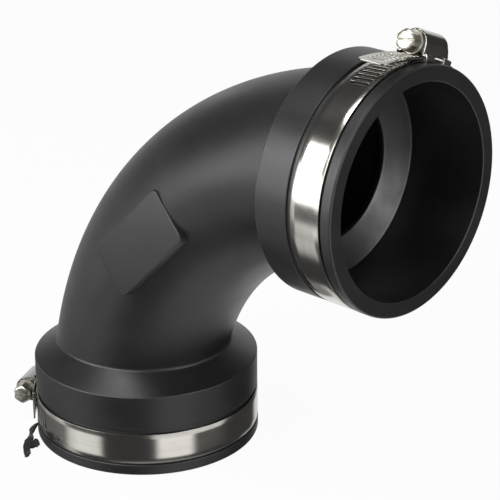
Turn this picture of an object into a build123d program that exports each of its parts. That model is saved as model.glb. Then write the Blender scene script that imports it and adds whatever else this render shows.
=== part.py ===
from build123d import *
import math
import os

os.makedirs("parts", exist_ok=True)

# All sizes are millimetres. Origin: centre of the lower mouth, which stands on the floor.
# +Z runs up the axis of the lower socket and +X out of the side socket.

# The pipe that each socket takes, 88.9 mm outside, and how loosely it enters
pipe_radius = 44.45
pipe_clearance = 0.35

# One socket of the moulded elbow, with depths measured in from its mouth
socket_wall = 6.5
lip_height = 5.0
lip_stand_out = 0.2
lip_round = 0.8
mouth_chamfer = 0.6
edge_chamfer = 0.3
band_seat_depth = 0.9
band_seat_width = 17.6
stop_depth = 37.1
stop_rise = 3.4
stop_corner_round = 1.0
stop_opening_radius = 30.5
stop_edge_round = 1.2
stop_ring_thickness = 3.0
shoulder_lead = 1.3
shoulder_slope = 31.5
shoulder_edge_round = 0.6
shoulder_root_share = 0.13

# The bend between the sockets. Its arc starts inside each socket, beside the axis
mouth_to_axis = 154.4
bend_radius = 152.9
bend_inset = 6.2
tube_radius = 39.4
tube_wall = 7.2

# Flat raised pad on the near side of the bend
pad_length = 50.0
pad_width = 26.0
pad_stand_out = 0.9
pad_corner_radius = 3.0
pad_edge_round = 0.5
pad_depth = 5.0
pad_shift_in = 1.5
pad_angle = 45.0

# Stainless band of the clamps
band_width = 14.2
band_thickness = 0.7
band_clearance = 0.3
band_from_mouth = 13.1
layer_gap = 0.1
tail_corner_radius = 2.5
edge_match = 0.01
lift_angle = 8.0
fixed_end_angle = 8.0

# Slots of the band, which the worm thread bites into
slot_pitch = 2.54
slot_length = 8.6
slot_gap = 1.35
slot_tilt = 6.0
slot_end_margin = 4.5
slot_depth_margin = 1.0
slotted_length = 78.0
lap_slotted_length = 24.0

# Saddle: a folded strip under the band, with four legs crimped over the housing
saddle_angle = 9.2
saddle_thickness = 0.6
saddle_side_gap = 0.1
leg_inner_angle = 3.4
crimp_width = 1.5

# Housing: a folded cover over the worm
housing_length = 17.0
housing_wall = 0.8
housing_end_round = 2.2

# Screw: worm core, flange and slotted hexagon head
worm_crest_radius = 4.7
worm_root_radius = 3.8
worm_engagement = 0.42
worm_clearance = 0.3
worm_end_gap = 0.5
neck_radius = 2.9
tip_radius = 2.0
tip_stand_out = 0.6
tip_chamfer = 0.3
journal_clearance = 0.15
flange_radius = 4.75
flange_thickness = 1.2
flange_gap = 0.3
head_sides = 6
head_across_flats = 7.94
head_height = 5.3
head_face_radius = 3.4
head_chamfer_angle = 30.0
driver_slot_width = 1.2
driver_slot_depth = 1.7

# Where each clamp sits. The lower angle is about +Z from +X, and the upper one is
# about -X from -Y, so that both housings lie past the outline seen from the front
lower_clamp_angle = -155.5
upper_clamp_angle = 112.5
lower_screw_turn = 20.0
upper_screw_turn = 65.0
lower_tail_length = 17.5
upper_tail_length = 25.5
lower_tail_radius = 900.0
upper_tail_radius = 120.0

# Torn scrap that trails from the lower lip to the floor
scrap_thickness = 0.8
scrap_height = 3.0
scrap_drop = 6.2
scrap_angle = -130.0
scrap_heading = -51.7
scrap_clearance = 0.2
scrap_hole_along = 12.6
scrap_hole_radius = 0.7

# Sizes worked out from the ones above
bore_radius = pipe_radius + pipe_clearance
barrel_radius = bore_radius + socket_wall
lip_radius = barrel_radius + lip_stand_out
seat_radius = barrel_radius - band_seat_depth
seat_end = lip_height + band_seat_width
shoulder_start = stop_depth + shoulder_lead
stop_inner_depth = stop_depth + stop_rise
stop_ring_top = stop_inner_depth + stop_ring_thickness
bend_centre = bend_radius - bend_inset
bend_height = mouth_to_axis - bend_centre
root_fillet = shoulder_root_share * (barrel_radius - tube_radius)
shoulder_rise = math.tan(math.radians(shoulder_slope))
shoulder_meets = shoulder_start + (barrel_radius - tube_radius) * shoulder_rise
tube_shift = bend_centre - math.sqrt(bend_radius**2 - (shoulder_meets - bend_height) ** 2)
waterway_radius = tube_radius - tube_wall
saddle_radius = seat_radius + band_clearance
loop_radius = saddle_radius + band_thickness / 2
lap_radius = saddle_radius + saddle_thickness + layer_gap + band_thickness / 2
top_radius = lap_radius + band_thickness + layer_gap
housing_radius = top_radius + band_thickness / 2 + layer_gap
crimp_radius = housing_radius + housing_wall + layer_gap
screw_axis_radius = top_radius + band_thickness / 2 - worm_engagement + worm_crest_radius
dome_inner_radius = worm_crest_radius + worm_clearance
dome_outer_radius = dome_inner_radius + housing_wall
housing_front = housing_length / 2


def polar(radius, angle):
    """Point of the XY plane at a radius and an angle in degrees."""
    return Vector(radius * math.cos(math.radians(angle)), radius * math.sin(math.radians(angle)))


def turned(outline):
    """Solid of revolution about Z from an outline drawn as radius and height."""
    return revolve(Plane.XZ * make_face(outline), Axis.Z, 360)


def to_side_socket(shape):
    """Carries a shape of the lower socket to the side socket, its mouth facing +X."""
    return Pos(mouth_to_axis, 0, mouth_to_axis) * Rot(0, -90, 0) * shape


def socket_outside():
    """Lip, band seat, barrel and sloping shoulder, still solid inside."""
    cone_radius = tube_radius - abs(tube_shift) - root_fillet
    cone_top = shoulder_start + (barrel_radius - cone_radius) * shoulder_rise
    outline = FilletPolyline(
        (0, 0),
        (lip_radius, 0),
        (lip_radius, lip_height - edge_chamfer),
        (lip_radius - edge_chamfer, lip_height),
        (seat_radius, lip_height),
        (seat_radius, seat_end),
        (barrel_radius - edge_chamfer, seat_end),
        (barrel_radius, seat_end + edge_chamfer),
        (barrel_radius, shoulder_start),
        (cone_radius, cone_top),
        (0, cone_top),
        radius=[0, lip_round, 0, 0, 0, 0, 0, 0, shoulder_edge_round, 0, 0],
        close=True,
    )
    return turned(outline)


def socket_inside():
    """Bore for the pipe, the sloping stop that ends it and the hole through the stop."""
    outline = FilletPolyline(
        (0, 0),
        (bore_radius + mouth_chamfer, 0),
        (bore_radius, mouth_chamfer),
        (bore_radius, stop_depth),
        (stop_opening_radius, stop_inner_depth),
        (stop_opening_radius, stop_ring_top),
        (0, stop_ring_top),
        radius=[0, 0, 0, stop_corner_round, stop_edge_round, 0, 0],
        close=True,
    )
    return turned(outline)


def bend(radius, root_depth):
    """Round bar along the bend, from a depth in one socket to the same depth in the other."""
    start = math.degrees(math.asin((root_depth - bend_height) / bend_radius))
    axis = Axis((bend_centre, 0, bend_height), (0, 1, 0))
    section = Pos(bend_centre - bend_radius, 0, bend_height) * Circle(radius)
    return revolve(section.rotate(axis, start), axis, 90 - 2 * start)


def waterway():
    """Passage through the bend, between the upper sides of the two stops."""
    reach = mouth_to_axis * 2
    room = Box(reach, reach, reach, align=(Align.MAX, Align.CENTER, Align.MIN))
    between_stops = Pos(mouth_to_axis - stop_ring_top, 0, stop_ring_top) * room
    return bend(waterway_radius, stop_depth / 2) & between_stops


def label_pad():
    """Flat pad with rounded corners, along the bend at its middle, facing -Y."""
    outline = RectangleRounded(pad_length, pad_width, pad_corner_radius)
    pad = extrude(outline, pad_depth)
    pad = fillet(pad.edges().group_by(Axis.Z)[-1], pad_edge_round)
    middle = polar(bend_radius - pad_shift_in, 180 - pad_angle)
    pad_foot = pad_depth - tube_radius - pad_stand_out
    face = Plane(
        origin=(bend_centre + middle.X, pad_foot, bend_height + middle.Y),
        x_dir=(math.sin(math.radians(pad_angle)), 0, math.cos(math.radians(pad_angle))),
        z_dir=(0, -1, 0),
    )
    return face * pad


def elbow_body():
    """The whole moulded elbow: two sockets, the bend, the pad and the way through."""
    lower = socket_outside()
    outside = lower + to_side_socket(lower) + bend(tube_radius, (seat_end + shoulder_start) / 2)
    roots = outside.edges().filter_by(lambda edge: edge.geom_type not in (GeomType.CIRCLE, GeomType.LINE))
    outside = fillet(roots, root_fillet)
    cavity = socket_inside()
    return outside + label_pad() - cavity - to_side_socket(cavity) - waterway()


def band_line(offset, tail_length, tail_radius):
    """One face of the band, seen along its axis, at an offset from the band's middle."""
    inner = loop_radius + offset
    lap = lap_radius + offset
    top = top_radius + offset
    lap_end = saddle_angle + lift_angle / 2
    loop_start = lap_end + lift_angle
    loop_end = 360 - saddle_angle - 2 * lift_angle
    top_start = 360 - saddle_angle - lift_angle / 4
    top_end = 360 + saddle_angle
    lap_arc = CenterArc((0, 0), lap, -fixed_end_angle, fixed_end_angle + lap_end)
    loop_arc = CenterArc((0, 0), inner, loop_start, loop_end - loop_start)
    top_arc = CenterArc((0, 0), top, top_start, top_end - top_start)
    drop = Spline(lap_arc @ 1, loop_arc @ 0, tangents=[lap_arc % 1, loop_arc % 0])
    climb = Spline(loop_arc @ 1, top_arc @ 0, tangents=[loop_arc % 1, top_arc % 0])
    bend_of_tail = tail_radius + offset
    tail = JernArc(top_arc @ 1, top_arc % 1, bend_of_tail, math.degrees(tail_length / tail_radius))
    return [lap_arc, drop, loop_arc, climb, top_arc, tail]


def place_on_line(line, distance, from_end):
    """Plane on a line at a distance, its X along the line and its Z away from the socket."""
    spot = line.length - distance if from_end else distance
    point = line.position_at(spot, PositionMode.LENGTH)
    along = line.tangent_at(spot, PositionMode.LENGTH)
    return Plane(origin=point, x_dir=along, z_dir=along.cross(Vector(0, 0, 1)))


def slot_cutter(outward, inward):
    """Slanted slot, with its reach outward and inward from the middle of the band."""
    cutter = Box(slot_gap, slot_length, outward + inward)
    return Pos(0, 0, (outward - inward) / 2) * Rot(0, 0, slot_tilt) * cutter


def band(tail_length, tail_radius):
    """Slotted band: fixed end in the saddle, once round the socket, then the free tail."""
    half = band_thickness / 2
    under = band_line(-half, tail_length, tail_radius)
    over = band_line(half, tail_length, tail_radius)
    ends = [Line(under[0] @ 0, over[0] @ 0), Line(under[-1] @ 1, over[-1] @ 1)]
    strip = extrude(make_face(under + over + ends), band_width / 2, both=True)
    tail_edges = strip.edges().filter_by(lambda edge: (edge @ 0.5 - (over[-1] @ 1)).length < band_width)
    corners = tail_edges.filter_by(lambda edge: is_tail_corner(edge, under[-1] @ 1, over[-1] @ 1))
    strip = fillet(corners, tail_corner_radius)
    middle = band_line(0, tail_length, tail_radius)
    free_end = Wire(middle[2:])
    within_gap = half + layer_gap / 2
    cutters = [
        place_on_line(free_end, slot_end_margin + number * slot_pitch, True)
        * slot_cutter(within_gap + slot_depth_margin, within_gap)
        for number in range(int(slotted_length / slot_pitch))
    ]
    lap_start = math.radians(fixed_end_angle + saddle_angle) * lap_radius + slot_gap
    fixed_end = Wire(middle[:3])
    cutters += [
        place_on_line(fixed_end, lap_start + number * slot_pitch, False)
        * slot_cutter(within_gap, within_gap + slot_depth_margin)
        for number in range(int(lap_slotted_length / slot_pitch))
    ]
    return strip - cutters


def is_tail_corner(edge, under_end, over_end):
    """True for the two short edges across the band's thickness at the tip of its tail."""
    middle = edge @ 0.5
    tip = (under_end + over_end) * 0.5
    at_tip = (Vector(middle.X, middle.Y) - tip).length < edge_match
    return at_tip and abs(edge.length - band_thickness) < edge_match


def ring_piece(points, first_angle, last_angle):
    """Piece turned about the clamp's axis between two angles, from radius and height points."""
    section = Plane.XZ * make_face(Polyline(points, close=True))
    return revolve(section, Axis.Z, last_angle - first_angle).rotate(Axis.Z, first_angle)


def saddle():
    """Curved strip under the band, whose four legs rise past the band and fold inward."""
    side = band_width / 2 + saddle_side_gap
    outer_side = side + saddle_thickness
    base_top = saddle_radius + saddle_thickness
    crimp_top = crimp_radius + saddle_thickness
    base = ring_piece(
        [
            (saddle_radius, -outer_side),
            (base_top, -outer_side),
            (base_top, outer_side),
            (saddle_radius, outer_side),
        ],
        -saddle_angle,
        saddle_angle,
    )
    leg = [
        (saddle_radius, side),
        (crimp_radius, side),
        (crimp_radius, outer_side - crimp_width),
        (crimp_top, outer_side - crimp_width),
        (crimp_top, outer_side),
        (saddle_radius, outer_side),
    ]
    front = ring_piece(leg, leg_inner_angle, saddle_angle)
    rear = ring_piece(leg, -saddle_angle, -leg_inner_angle)
    legs = front + rear
    return base + legs + mirror(legs, Plane.XY)


def dome(radius, length, end_round):
    """Arched block along Y over the worm, rounded at its rear end."""
    sill = screw_axis_radius - housing_radius
    arch = Pos(screw_axis_radius, 0) * Circle(radius)
    arch += Pos(screw_axis_radius - sill, 0) * Rectangle(2 * sill, 2 * radius)
    block = extrude(Plane.XZ * arch, length / 2, both=True)
    rear = block.edges().group_by(Axis.Y)[0]
    rear = rear.filter_by(lambda edge: edge.center().X > housing_radius)
    return fillet(rear, end_round)


def housing():
    """Folded cover: domed over the worm, with side flanges that the saddle holds down."""
    flange_top = housing_radius + housing_wall
    flange = ring_piece(
        [
            (housing_radius, -band_width / 2),
            (flange_top, -band_width / 2),
            (flange_top, band_width / 2),
            (housing_radius, band_width / 2),
        ],
        -saddle_angle,
        saddle_angle,
    )
    shell = dome(dome_outer_radius, housing_length, housing_end_round) + flange
    shell -= dome(dome_inner_radius, housing_length - 2 * housing_wall, housing_end_round - housing_wall)
    shell -= Cylinder(housing_radius, 4 * band_width)
    neck_hole = Cylinder(neck_radius + journal_clearance, housing_length / 2)
    tip_hole = Cylinder(tip_radius + journal_clearance, housing_length / 2)
    shell -= Pos(screw_axis_radius, housing_front, 0) * Rot(90, 0, 0) * neck_hole
    shell -= Pos(screw_axis_radius, -housing_front, 0) * Rot(90, 0, 0) * tip_hole
    return shell


def screw(turn):
    """Worm screw along its own Z: tip, worm core, neck, flange and slotted hexagon head."""
    inner_end = housing_front - housing_wall - worm_end_gap
    tip_end = -housing_front - tip_stand_out
    flange_back = housing_front + flange_gap
    head_foot = flange_back + flange_thickness
    head_top = head_foot + head_height
    shank = turned(
        Polyline(
            (0, tip_end),
            (tip_radius - tip_chamfer, tip_end),
            (tip_radius, tip_end + tip_chamfer),
            (tip_radius, -inner_end),
            (worm_root_radius, -inner_end),
            (worm_root_radius, inner_end),
            (neck_radius, inner_end),
            (neck_radius, flange_back),
            (flange_radius, flange_back),
            (flange_radius, head_foot),
            (0, head_foot),
            close=True,
        )
    )
    corner_radius = head_across_flats / 2 / math.cos(math.pi / head_sides)
    chamfer_height = (corner_radius - head_face_radius) * math.tan(math.radians(head_chamfer_angle))
    chamfer_body = turned(
        Polyline(
            (0, head_foot),
            (corner_radius, head_foot),
            (corner_radius, head_top - chamfer_height),
            (head_face_radius, head_top),
            (0, head_top),
            close=True,
        )
    )
    head = Pos(0, 0, head_foot) * extrude(RegularPolygon(corner_radius, head_sides), head_height)
    driver_slot = Pos(0, 0, head_top) * Box(2 * head_across_flats, driver_slot_width, 2 * driver_slot_depth)
    return Rot(0, 0, turn) * (shank + (head & chamfer_body) - driver_slot)


def clamp(tail_length, tail_radius, screw_turn):
    """The four pieces of one clamp, round Z, with the housing at +X and the head at +Y."""
    screw_place = Pos(screw_axis_radius, 0, 0) * Rot(-90, 0, 0)
    return {
        "band": band(tail_length, tail_radius),
        "saddle": saddle(),
        "housing": housing(),
        "screw": screw_place * screw(screw_turn),
    }


def torn_scrap():
    """Ragged scrap: a thin strand from the lip, a lobe with a small hole and a side hook."""
    outline = Polyline(
        (0.0, -0.6),
        (2.6, -2.4),
        (5.6, -2.9),
        (9.0, -2.6),
        (13.4, -3.3),
        (17.6, -3.0),
        (21.2, -2.0),
        (24.6, -0.4),
        (23.2, 1.6),
        (18.2, 1.2),
        (16.0, 1.4),
        (15.4, 2.4),
        (17.4, 3.4),
        (15.2, 4.4),
        (12.2, 2.6),
        (10.6, 0.9),
        (7.4, -0.6),
        (4.6, -1.2),
        (0.8, 0.0),
        close=True,
    )
    hole = Pos(scrap_hole_along, 0) * Circle(scrap_hole_radius)
    scrap = extrude(make_face(outline) - hole, scrap_thickness)
    start = polar(lip_radius + scrap_clearance, scrap_angle)
    heading = Rot(0, 0, scrap_heading) * Rot(0, scrap_drop, 0)
    return Pos(start.X, start.Y, scrap_height) * heading * scrap


elbow = elbow_body()
lower_place = Pos(0, 0, band_from_mouth) * Rot(0, 0, lower_clamp_angle)
upper_place = Plane(
    origin=(mouth_to_axis - band_from_mouth, 0, mouth_to_axis),
    x_dir=(0, -math.cos(math.radians(upper_clamp_angle)), math.sin(math.radians(upper_clamp_angle))),
    z_dir=(1, 0, 0),
)
lower_clamp = clamp(lower_tail_length, lower_tail_radius, lower_screw_turn)
upper_clamp = clamp(upper_tail_length, upper_tail_radius, upper_screw_turn)

export_step(elbow, "parts/elbow_body.step")
export_step(torn_scrap(), "parts/torn_scrap.step")
for name, piece in lower_clamp.items():
    export_step(lower_place * piece, "parts/lower_" + name + ".step")
for name, piece in upper_clamp.items():
    export_step(upper_place * piece, "parts/upper_" + name + ".step")
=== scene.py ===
import math
from bisect import bisect_right

import bmesh
import bpy
from bpy.props import FloatProperty, FloatVectorProperty, IntProperty, PointerProperty
from mathutils import Matrix, Vector, noise


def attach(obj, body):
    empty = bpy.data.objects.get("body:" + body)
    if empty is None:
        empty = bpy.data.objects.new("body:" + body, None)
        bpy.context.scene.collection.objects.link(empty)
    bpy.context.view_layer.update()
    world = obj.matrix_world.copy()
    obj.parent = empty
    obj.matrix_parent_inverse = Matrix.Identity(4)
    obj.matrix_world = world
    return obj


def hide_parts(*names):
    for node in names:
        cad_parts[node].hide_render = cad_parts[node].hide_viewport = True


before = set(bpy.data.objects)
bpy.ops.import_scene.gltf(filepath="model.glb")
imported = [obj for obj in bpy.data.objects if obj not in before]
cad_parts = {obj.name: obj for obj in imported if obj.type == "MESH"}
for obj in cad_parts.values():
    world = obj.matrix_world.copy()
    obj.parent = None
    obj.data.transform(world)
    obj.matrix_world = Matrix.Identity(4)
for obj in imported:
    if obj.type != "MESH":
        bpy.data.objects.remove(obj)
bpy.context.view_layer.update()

bl_info = {
    "name": "Flexible elbow coupling",
    "version": (1, 0, 0),
    "blender": (4, 5, 0),
    "location": "View3D > Sidebar > Coupling",
    "description": "Moulded rubber pipe elbow with a worm-drive band clamp round each socket",
    "category": "Add Mesh",
}

MM = 0.001
# Angle in degrees above which an edge between two faces is drawn sharp.
SHARP = 38.0
# Arcs over which a band climbs from layer to layer, and from its fixed end to the saddle's middle.
BAND_LIFT = math.radians(8.0)
BAND_LEAD = math.radians(8.0)
# Room between the feet of a saddle's legs and the band in them, and between a wall and its screw.
SIDE_ROOM = 0.1 * MM
HOLE_ROOM = 0.15 * MM
# Where round the side socket its stop carries a painted highlight, paler than its lighting makes
# it: the middle, up from the lowest place, and spread.
STOP_HIGHLIGHT_AT = math.radians(52.0)
STOP_HIGHLIGHT_SPREAD = math.radians(22.0)
# Light from all round, and the walls that mirrors see beside the panels and straight below.
EVEN_LIGHT = 0.23
DIM_WALL = 0.05
UNDER_WALL = 0.8
# Brightness of the studio's walls by angle in degrees, as mirrors see them, a ring at a time.
HIGH_WALLS = [
    (-180, 0.2), (-165, DIM_WALL), (95, DIM_WALL), (105, 0.9), (152, 0.9), (162, 0.2), (180, 0.2),
]
LEVEL_WALLS = [
    (-180, 0.45), (-150, 0.5), (-144, 0.85), (-137, 0.85), (-133, 0.12), (-97, 0.12),
    (-93, DIM_WALL), (-42, DIM_WALL), (-38, 1.0), (35, 1.0), (39, DIM_WALL), (102, DIM_WALL),
    (110, 0.8), (155, 0.7), (180, 0.45),
]
LOW_WALLS = [
    (-180, 0.13), (-140, 0.18), (-134, 0.85), (-123, 1.1), (-97, 1.05), (-92, DIM_WALL),
    (-38, DIM_WALL), (-33, 1.2), (0, 1.2), (6, DIM_WALL), (98, DIM_WALL), (106, 0.8),
    (142, 0.8), (150, 0.13), (180, 0.13),
]
DEEP_WALLS = [
    (-180, DIM_WALL), (-152, DIM_WALL), (-144, 0.7), (-134, 0.7), (-128, DIM_WALL),
    (75, DIM_WALL), (100, 0.95), (165, 0.9), (172, DIM_WALL), (180, DIM_WALL),
]
STEEP_WALLS = [
    (-180, DIM_WALL), (-105, DIM_WALL), (-60, 0.5), (45, 0.5), (95, 0.85), (165, 0.85),
    (172, DIM_WALL), (180, DIM_WALL),
]
# Where each lower ring starts and is full, and the same for what lies straight below, as the
# sine of the angle below level.
RINGS_BELOW = [(0.37, 0.42, LOW_WALLS), (0.53, 0.58, DEEP_WALLS), (0.70, 0.76, STEEP_WALLS)]
UNDER_FROM = (0.91, 0.94)
# Lamps: name, angle round the studio and height in degrees, size in metres, power in watts.
LAMPS = [
    ("left", -118.0, 6.0, (1.0, 0.5), 4.2),
    ("window", -124.0, 27.0, (0.26, 0.36), 2.3),
    ("front", -84.0, 34.0, (0.6, 0.55), 4.4),
    ("right", 0.0, 17.0, (0.5, 0.7), 3.0),
    ("top", -125.0, 72.0, (0.36, 0.36), 3.0),
]
# Point that the lamps face, and how far they stand from it.
LAMP_TARGET = Vector((0.05, 0.0, 0.10))
LAMP_DISTANCE = 1.1
# The camera, fitted to the photo: its place, and its right, its up and the way behind it.
CAMERA_LENS = 148.3
CAMERA_PLACE = (0.62076, -0.59965, 0.44520)
CAMERA_AXES = (
    (0.735809, 0.677156, -0.006714),
    (-0.255215, 0.286477, 0.923470),
    (0.627257, -0.677783, 0.383613),
)
# Half of the floor's side in metres.
HALF_FLOOR = 3.0
# How much of the floor the camera sees as plain white; the rest shows the shadow.
WHITE_SHARE = 0.95
# Colour of tarnish on the plating, as a share of its red, green and blue.
TARNISH = (0.62, 0.56, 0.40)
# Outline of the torn scrap in millimetres, from where it hangs on the lip out to its tip.
SCRAP_OUTLINE = [
    (0.0, 0.2), (3.2, -2.1), (5.8, -2.8), (9.5, -2.2), (13.1, -2.4), (15.6, -3.2), (19.6, -3.4),
    (22.8, -2.5), (25.2, -2.0), (28.0, -0.8), (27.2, 0.3), (24.8, 1.1), (22.4, 0.6), (20.4, -0.1),
    (17.8, 0.2), (16.8, 1.6), (19.0, 2.3), (19.4, 3.3), (16.7, 3.9), (13.9, 2.8), (12.7, 1.4),
    (15.0, 0.6), (14.6, -0.3), (12.0, 0.2), (8.6, -0.8), (5.0, -1.7), (0.8, 0.6),
]


def length(name, millimetres, description):
    """A size of the part, shown in the scene's own unit of length."""
    return FloatProperty(
        name=name,
        description=description,
        default=millimetres * MM,
        precision=5,
        unit="LENGTH",
    )


def angle(name, degrees, description):
    """An angle of the part, kept in radians and shown in degrees."""
    return FloatProperty(
        name=name,
        description=description,
        default=math.radians(degrees),
        unit="ROTATION",
        subtype="ANGLE",
    )


def colour(name, value, description):
    """A colour of one of the part's finishes."""
    return FloatVectorProperty(
        name=name,
        description=description,
        default=value,
        size=3,
        min=0.0,
        max=1.0,
        subtype="COLOR",
    )


def share(name, value, description):
    """A number from nought to one."""
    return FloatProperty(name=name, description=description, default=value, min=0.0, max=1.0)


class SocketSizes(bpy.types.PropertyGroup):
    """One socket of the elbow, with depths measured in from its mouth."""

    bore_radius: length("Bore radius", 44.8, "Inside of the socket, which takes the pipe")
    barrel_radius: length("Barrel radius", 51.3, "Outside of the socket")
    lip_radius: length("Lip radius", 51.5, "Outside of the lip at the mouth")
    lip_height: length("Lip height", 5.0, "Width of the lip along the socket")
    lip_round: length("Lip round", 0.8, "Rounding of the lip at the mouth")
    seat_radius: length("Seat radius", 50.4, "Bottom of the sunk seat for the band")
    seat_end: length("Seat end", 22.6, "Depth at which the seat ends")
    stop_depth: length("Stop depth", 37.1, "How far the pipe goes in")
    stop_inner_depth: length("Stop inner depth", 40.5, "Depth of the stop's inner edge")
    stop_ring_top: length("Stop ring top", 43.5, "Depth at which the stop ring ends")
    stop_opening: length("Stop opening", 30.5, "Radius of the hole through the stop")
    shoulder_start: length("Shoulder start", 38.4, "Depth at which the outside slopes in")
    shoulder_slope: angle("Shoulder slope", 31.5, "Slope of the shoulder from the mouth's plane")
    around: IntProperty(
        name="Steps around",
        description="Faces round the elbow",
        default=192,
        min=48,
    )


class BendSizes(bpy.types.PropertyGroup):
    """The curved tube between the sockets."""

    mouth_to_axis: length("Mouth to axis", 154.4, "From one mouth to the other socket's axis")
    bend_radius: length("Bend radius", 152.9, "Radius of the tube's middle line")
    bend_centre: length("Bend centre", 146.7, "How far the bend's centre lies from the lower axis")
    tube_radius: length("Tube radius", 39.4, "Outside of the tube")
    waterway_radius: length("Waterway radius", 32.2, "Inside of the tube")
    root_fillet: length("Root fillet", 1.55, "Fillet between shoulder and tube")
    pad_length: length("Pad length", 51.0, "Raised pad, along the bend")
    pad_width: length("Pad width", 26.0, "Raised pad, across the bend")
    pad_face: length("Pad face", 40.7, "From the bend's plane to the face of the pad")
    pad_middle: length("Pad middle", 151.4, "From the bend's centre to the middle of the pad")
    pad_lean: angle("Pad lean", 4.5, "How far the pad leans out at the inner side of the bend")
    pad_tip: angle("Pad tip", 1.5, "How far the pad leans out at its lower end")
    pad_drop: length("Pad drop", 1.6, "How far the pad sits below the middle of the bend")
    rows: IntProperty(name="Rows", description="Faces along half of the tube", default=44, min=8)


class ClampSizes(bpy.types.PropertyGroup):
    """One worm-drive clamp, in its own frame: axis Z, housing at +X, screw along Y."""

    from_mouth: length("From mouth", 13.1, "Middle of the band, from the mouth")
    band_width: length("Band width", 14.2, "Width of the band")
    band_thickness: length("Band thickness", 0.7, "Thickness of the band")
    inside_radius: length("Inside radius", 50.7, "Inside of the band and of the saddle")
    layer_gap: length("Layer gap", 0.1, "Gap between layers of strip")
    slot_pitch: length("Slot pitch", 2.54, "From slot to slot")
    slot_gap: length("Slot gap", 1.35, "Width of a slot along the band")
    slot_length: length("Slot length", 8.6, "Length of a slot across the band")
    slot_tilt: angle("Slot tilt", 6.0, "Slant of the slots")
    saddle_angle: angle("Saddle angle", 9.2, "Half of the arc that the saddle covers")
    saddle_thickness: length("Saddle thickness", 0.6, "Thickness of the saddle's strip")
    housing_length: length("Housing length", 17.0, "Length of the housing along the screw")
    housing_wall: length("Housing wall", 0.8, "Thickness of the housing's strip")
    dome_radius: length("Dome radius", 5.8, "Outside of the dome over the worm")
    screw_axis: length("Screw axis", 57.18, "From the clamp's axis to the screw's axis")
    lower_angle: angle("Lower clamp angle", -155.5, "Where the lower housing sits")
    upper_angle: angle("Upper clamp angle", 112.5, "Where the upper housing sits")
    lower_tail: length("Lower tail", 17.5, "Length of the lower band's free tail")
    upper_tail: length("Upper tail", 25.5, "Length of the upper band's free tail")
    lower_tail_radius: length("Lower tail radius", 62.0, "Curve of the lower tail")
    upper_tail_radius: length("Upper tail radius", 120.0, "Curve of the upper tail")
    lower_turn: angle("Lower screw turn", 2.0, "How far round the lower screw stands")
    upper_turn: angle("Upper screw turn", 99.5, "How far round the upper screw stands")
    lap_slots: IntProperty(
        name="Slots under the tail",
        description="Slots that show under the tail and past it",
        default=13,
        min=0,
    )


class ScrewSizes(bpy.types.PropertyGroup):
    """The slotted hexagon worm screw, along its own Z."""

    core_radius: length("Core radius", 3.8, "Root of the worm thread")
    crest_radius: length("Crest radius", 4.2, "Crest of the worm thread")
    neck_radius: length("Neck radius", 2.9, "Neck in the front wall")
    tip_radius: length("Tip radius", 2.0, "Tip in the rear wall")
    flange_radius: length("Flange radius", 5.1, "Flange under the head")
    flange_start: length("Flange start", 8.8, "From the clamp's middle to the flange")
    head_foot: length("Head foot", 10.0, "From the clamp's middle to the head")
    head_top: length("Head top", 15.3, "From the clamp's middle to the head's face")
    across_flats: length("Across flats", 7.94, "Size of the hexagon")
    face_radius: length("Face radius", 3.4, "Flat part of the head's face")
    slot_width: length("Driver slot width", 1.1, "Slot for a flat screwdriver")
    slot_depth: length("Driver slot depth", 1.2, "Depth of the driver slot")


class Finishes(bpy.types.PropertyGroup):
    """Colours of the finishes and of the stage."""

    rubber: colour("Rubber", (0.0090, 0.0087, 0.0098), "Black moulded rubber")
    # Lighter rubber of the flow marks, specks and scratches, and of the painted highlights along
    # the rounded edges.
    scuff_and_highlight: colour("Scuff", (0.085, 0.083, 0.086), "Rubber where it is rubbed or dusty")
    # Pale colour of the painted highlight on the stops inside the sockets.
    dust: colour("Dust", (0.46, 0.45, 0.46), "Fine dust on the stop inside the sockets")
    band: colour("Band", (0.70, 0.675, 0.63), "Rolled stainless strip")
    housing: colour("Housing", (0.60, 0.585, 0.56), "Pressed stainless strip")
    screw: colour("Screw", (0.74, 0.72, 0.65), "Bright plated screw")
    # Dark colour of the metal's streaks, and of the painted shade in its corners, slots and
    # overlaps.
    grime_and_shade: colour("Grime", (0.10, 0.09, 0.07), "Dirt and oil in corners of the metal")
    floor: colour("Floor", (0.86, 0.86, 0.86), "Pale floor")
    rubber_roughness: share("Rubber roughness", 0.38, "Satin of the moulded rubber")
    band_roughness: share("Band roughness", 0.16, "Polish of the band")


class Wire:
    """The output of a node, so that shader maths is written as plain expressions."""

    def __init__(self, finish, socket):
        self.finish = finish
        self.socket = socket

    def maths(self, operation, first, second):
        return self.finish.node("Math", {"operation": operation}, {0: first, 1: second})

    def __add__(self, other):
        return self.maths("ADD", self, other)

    def __sub__(self, other):
        return self.maths("SUBTRACT", self, other)

    def __rsub__(self, other):
        return self.maths("SUBTRACT", other, self)

    def __mul__(self, other):
        return self.maths("MULTIPLY", self, other)

    __radd__ = __add__
    __rmul__ = __mul__

    def toward(self, other, part):
        """Value on the way from this one to another, by a share of the way."""
        return self + part * (other - self)


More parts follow.
